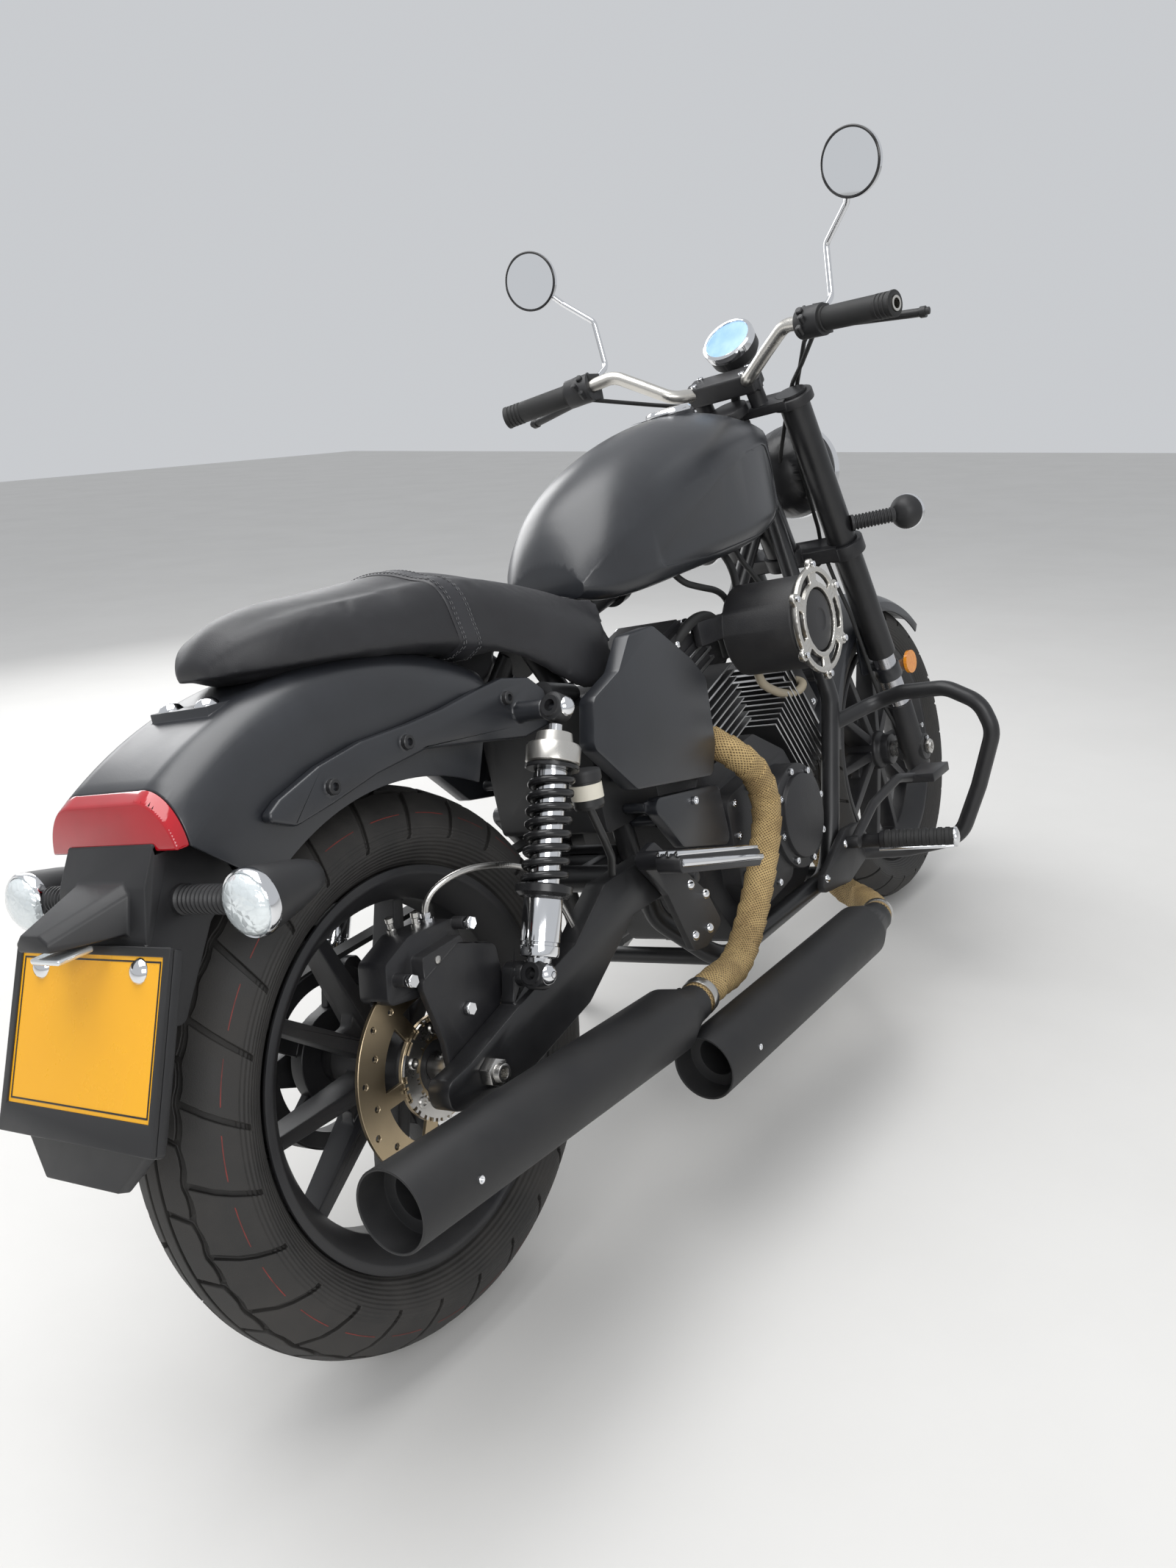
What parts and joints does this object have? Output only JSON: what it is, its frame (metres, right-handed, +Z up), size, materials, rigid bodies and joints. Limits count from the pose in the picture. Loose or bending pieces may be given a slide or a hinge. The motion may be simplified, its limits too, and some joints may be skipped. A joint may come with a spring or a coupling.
{
  "type": "cruiser motorcycle",
  "caption": "Two-wheeled V-twin cruiser leaning on its side stand, with turning wheels, steering and a folding stand.",
  "frame": {"origin": "on the ground, under the middle of the whole machine's bounding box, as it leans on its stand", "axes": "+X forward along the machine, +Y to the rider's left, +Z up; the machine leans 12 degrees to +Y"},
  "size_m": [2.0972, 0.9005, 1.3683],
  "materials": {
    "satin_black": "satin",
    "frame_black": "gloss",
    "cast_black": "satin",
    "engine_black": "matte",
    "fin_metal": "black with bright edges",
    "tyre_rubber": "matte",
    "disc_steel": "brushed, bronze tint",
    "bright_steel": "brushed",
    "chrome": "mirror",
    "silver_bar": "satin",
    "fork_silver": "satin",
    "leather_black": "grained",
    "heat_wrap": "woven",
    "muffler_black": "matte",
    "moulded_black": "moulded",
    "belt_rubber": "matte",
    "spring_black": "gloss",
    "lens_red": "clear red",
    "lens_clear": "clear over a reflector",
    "plate_yellow": "gloss, blank",
    "cup_plastic": "moulded",
    "lens_amber": "prismatic amber"
  },
  "bodies": {
    "chassis": {"frame": "frame_black", "swingarm": "frame_black", "rear_axle": "bright_steel", "drive_belt": "belt_rubber", "front_pulley": "bright_steel", "rear_caliper": "cast_black", "rear_fender": "satin_black", "strut_covers": "satin_black", "tail_light": "lens_red", "plate_holder": "moulded_black", "number_plate": "plate_yellow", "rear_signals": "lens_clear", "seat": "leather_black", "fuel_tank": "satin_black", "tank_cap": "chrome", "side_covers": "satin_black", "battery_box": "moulded_black", "crankcase": "engine_black", "cylinders": "fin_metal", "cylinder_heads": "engine_black", "air_cleaner": "engine_black", "air_cleaner_ring": "silver_bar", "exhaust_headers": "heat_wrap", "mufflers": "muffler_black", "radiator": "engine_black", "foot_pegs": "cast_black", "brake_pedal": "cast_black", "shift_lever": "bright_steel", "engine_guards": "frame_black", "shock_bodies": "chrome", "shock_springs": "spring_black", "reservoir": "cup_plastic"},
    "rear_wheel": {"rear_wheel": "cast_black", "rear_tyre": "tyre_rubber", "rear_disc": "disc_steel", "rear_pulley": "bright_steel"},
    "steering": {"fork_uppers": "frame_black", "fork_lowers": "fork_silver", "triple_clamps": "cast_black", "handlebar": "silver_bar", "hand_controls": "moulded_black", "mirrors": "chrome", "gauge": "chrome", "headlight": "frame_black", "front_signals": "moulded_black", "front_fender": "satin_black", "front_caliper": "cast_black", "front_axle": "bright_steel", "cables": "belt_rubber", "reflectors": "lens_amber"},
    "front_wheel": {"front_wheel": "cast_black", "front_tyre": "tyre_rubber", "front_disc": "disc_steel"},
    "side_stand": {"side_stand": "frame_black"}
  },
  "joints": [
    {"name": "rear_wheel_spin", "type": "hinge", "parent": "chassis", "child": "rear_wheel", "pos_m": [-0.67543, -0.09775, 0.30493], "axis": [0, 0.9781, -0.2079], "continuous": true},
    {"name": "steering_turn", "type": "hinge", "parent": "chassis", "child": "steering", "pos_m": [0.46374, 0.01868, 0.85269], "axis": [-0.3907, 0.1914, 0.9004], "range_deg": [-34, 34]},
    {"name": "front_wheel_spin", "type": "hinge", "parent": "steering", "child": "front_wheel", "pos_m": [0.74957, -0.10004, 0.29417], "axis": [0, 0.9781, -0.2079], "continuous": true},
    {"name": "side_stand_fold", "type": "hinge", "parent": "chassis", "child": "side_stand", "pos_m": [-0.01293, 0.03102, 0.15079], "axis": [0, 0.8128, 0.5826], "range_deg": [0, 95]}
  ]
}
